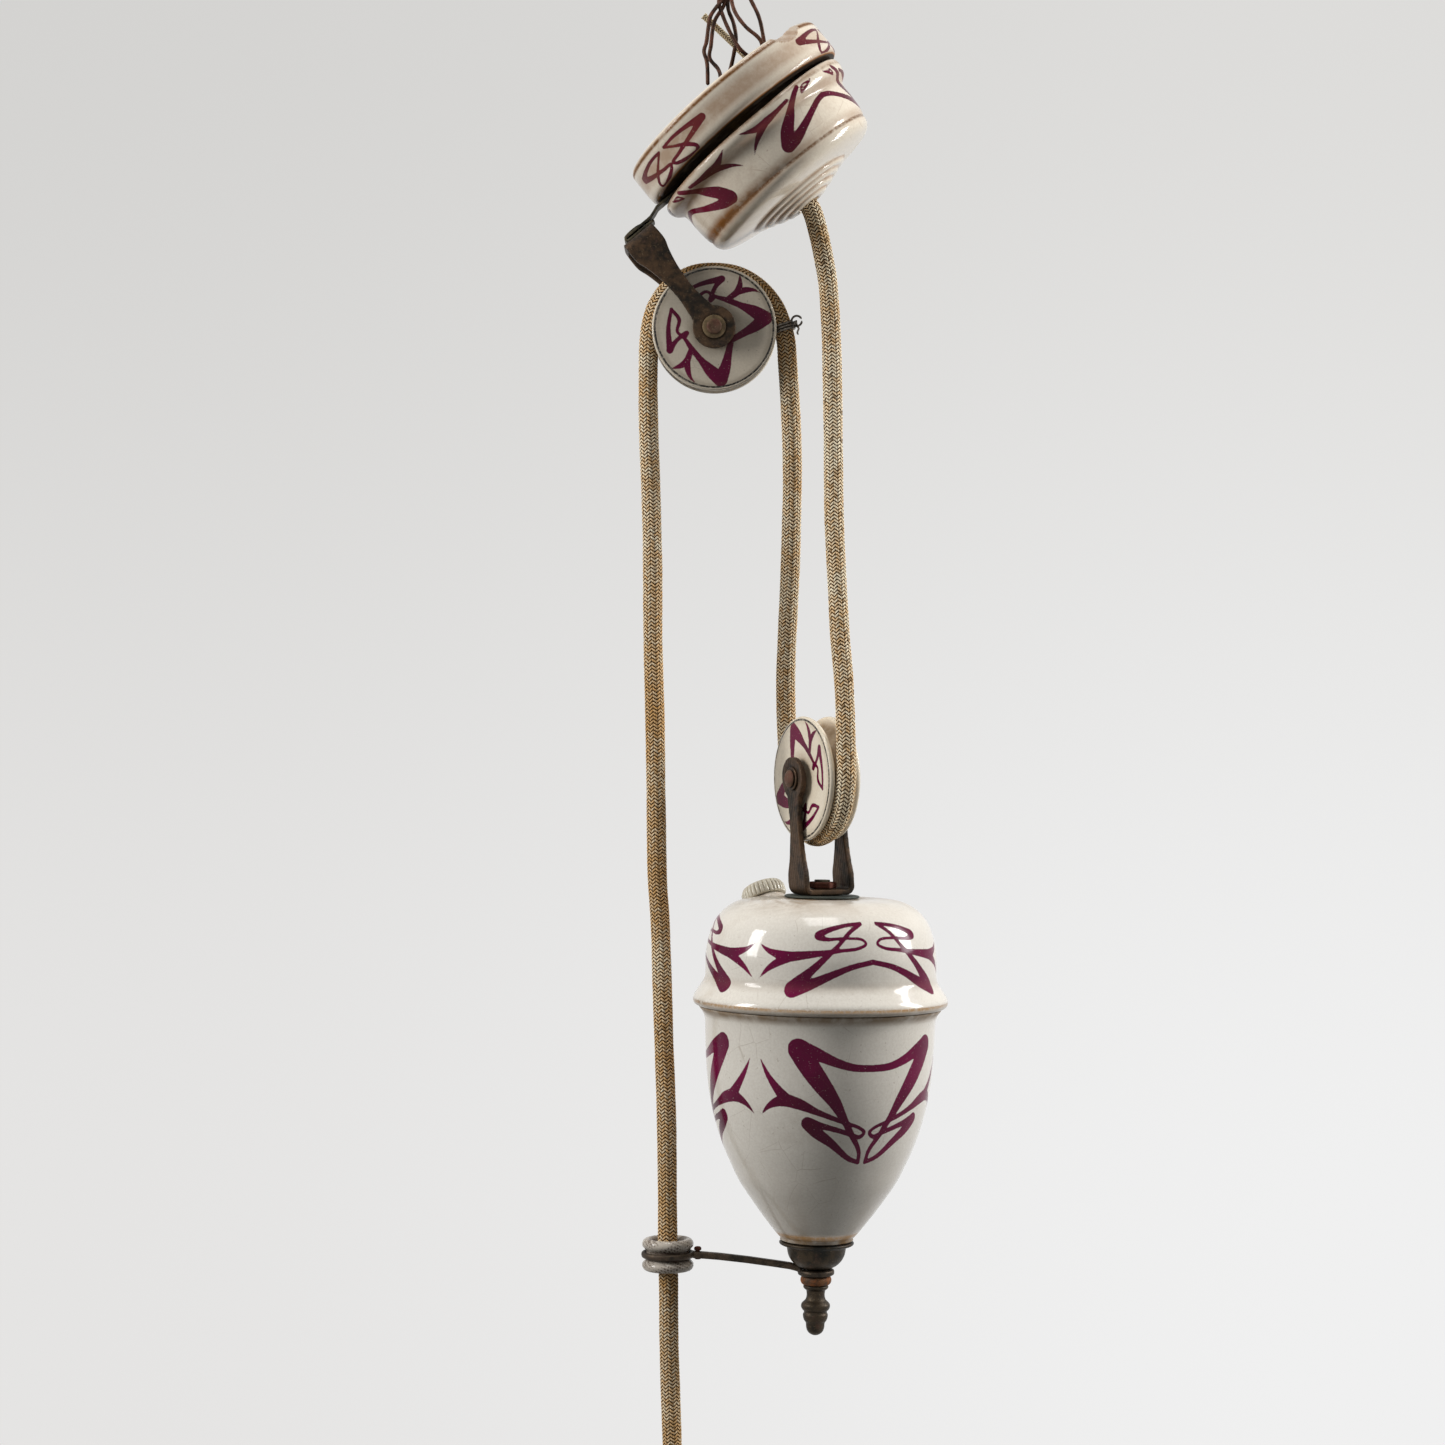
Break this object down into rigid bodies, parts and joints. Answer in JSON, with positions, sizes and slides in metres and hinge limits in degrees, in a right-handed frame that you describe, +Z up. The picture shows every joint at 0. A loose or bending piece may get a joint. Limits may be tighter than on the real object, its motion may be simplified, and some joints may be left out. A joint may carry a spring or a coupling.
{
  "type": "rise-and-fall pendant lamp suspension",
  "caption": "Porcelain rise-and-fall lamp suspension: ceiling rose, cord pulleys, urn counterweight, guide ring and cord end, hung from a ceiling hook.",
  "frame": {"origin": "centre of the ceiling plate's top face", "axes": "+Z up, +X to the right in the front view, +Y away from the viewer"},
  "size_m": [0.1461, 0.1146, 0.8029],
  "materials": {
    "glazed_porcelain": "gloss glaze, cream white, crazed and stained at the edges",
    "chipped_porcelain": "worn glaze, grey white, chipped",
    "aged_bronze": "dark brown patina",
    "dark_iron": "dull, oxidised",
    "rusty_iron": "rusted, matt",
    "old_brass": "tarnished",
    "dark_copper": "oxidised wire",
    "braided_cotton": "braided, matt, soiled",
    "woven_insulation": "woven, matt",
    "ballast_metal": "dull packed shot",
    "cast_resin": "satin, off-white"
  },
  "bodies": {
    "rose_assembly": {"ceiling_plate": "dark_iron", "ceiling_hook": "dark_iron", "hanger_wires": "dark_copper", "insulated_lead": "woven_insulation", "rose_ring": "glazed_porcelain", "rose_cover": "glazed_porcelain", "hanger_strap": "dark_iron", "ring_bolt_left": "dark_iron", "ring_bolt_right": "dark_iron", "ring_nut_left": "dark_iron", "ring_nut_right": "dark_iron", "centre_nipple": "old_brass", "nipple_nut": "old_brass", "clamp_collar": "old_brass", "clamp_screw": "dark_iron", "terminal_block": "glazed_porcelain", "core_live": "woven_insulation", "core_neutral": "woven_insulation", "swivel_rivet": "dark_iron", "cord_run_a": "braided_cotton", "cord_run_b": "braided_cotton", "cord_run_b_top": "braided_cotton", "cord_run_c_top": "braided_cotton", "cord_run_c": "braided_cotton"},
    "upper_yoke_assembly": {"upper_yoke": "aged_bronze", "upper_axle": "dark_iron", "upper_washer_front": "aged_bronze", "upper_washer_back": "aged_bronze", "cord_arch": "braided_cotton"},
    "upper_sheave": {"upper_pulley": "glazed_porcelain", "upper_pulley_bush": "old_brass"},
    "cord_stop": {"stop_wire": "dark_iron"},
    "weight_frame": {"lower_fork": "aged_bronze", "lower_axle": "dark_iron", "lower_washer_front": "aged_bronze", "lower_washer_back": "aged_bronze", "fork_washer": "dark_iron", "fork_nut": "rusty_iron", "tie_rod": "dark_iron", "finial_cup": "aged_bronze", "finial_nut": "rusty_iron", "finial": "aged_bronze", "guide_arm": "aged_bronze", "arm_rivet": "rusty_iron", "cord_loop": "braided_cotton"},
    "lower_sheave": {"lower_pulley": "glazed_porcelain", "lower_pulley_bush": "old_brass"},
    "weight_shell": {"weight_cap": "glazed_porcelain", "weight_body": "glazed_porcelain", "ballast": "ballast_metal"},
    "filler": {"filler_cap": "cast_resin"},
    "guide": {"guide_ring": "chipped_porcelain"},
    "lamp_end": {"lamp_cord_grip": "aged_bronze", "lamp_grip_nut": "old_brass", "lamp_flange": "old_brass"}
  },
  "joints": [
    {"name": "yoke_swivel", "type": "hinge", "parent": "rose_assembly", "child": "upper_yoke_assembly", "pos_m": [-0.04373, 0, -0.17673], "axis": [-0.6374, 0, 0.7705], "range_deg": [-12, 12], "deforming": ["cord_run_b_top", "cord_run_c_top"]},
    {"name": "upper_pulley_spin", "type": "hinge", "parent": "upper_yoke_assembly", "child": "upper_sheave", "pos_m": [-0.00931, 0, -0.21834], "axis": [0, 1, 0], "continuous": true},
    {"name": "stop_travel", "type": "slide", "parent": "upper_yoke_assembly", "child": "cord_stop", "axis": [-0.0441, -0.1371, 0.9896], "range_m": [-0.084, 0]},
    {"name": "weight_travel", "type": "slide", "parent": "rose_assembly", "child": "weight_frame", "axis": [0, 0, 1], "range_m": [-0.042, 0], "deforming": ["cord_run_a", "cord_run_b"]},
    {"name": "lower_pulley_spin", "type": "hinge", "parent": "weight_frame", "child": "lower_sheave", "pos_m": [0.0367, 0, -0.4202], "axis": [0.8988, 0.4384, 0], "continuous": true},
    {"name": "weight_turn", "type": "hinge", "parent": "weight_frame", "child": "weight_shell", "pos_m": [0.03915, 0, -0.474], "axis": [0.0157, 0, 0.9999], "continuous": true},
    {"name": "filler_unscrew", "type": "slide", "parent": "weight_shell", "child": "filler", "axis": [-0.2913, 0.3768, 0.8793], "range_m": [0, 0.015]},
    {"name": "guide_ring_turn", "type": "hinge", "parent": "weight_frame", "child": "guide", "pos_m": [-0.0302, 0, -0.6343], "axis": [0, 0, 1], "continuous": true},
    {"name": "lamp_travel", "type": "slide", "parent": "rose_assembly", "child": "lamp_end", "axis": [-0.0192, 0, 0.9998], "range_m": [0, 0.084], "deforming": ["cord_run_c"]}
  ],
  "couplings": [
    {"joint": "upper_pulley_spin", "follows": "weight_travel", "rad_per_m": -76.92},
    {"joint": "lower_pulley_spin", "follows": "weight_travel", "rad_per_m": 38.46},
    {"joint": "lamp_travel", "follows": "weight_travel", "ratio": -2},
    {"joint": "stop_travel", "follows": "weight_travel", "ratio": 2}
  ]
}
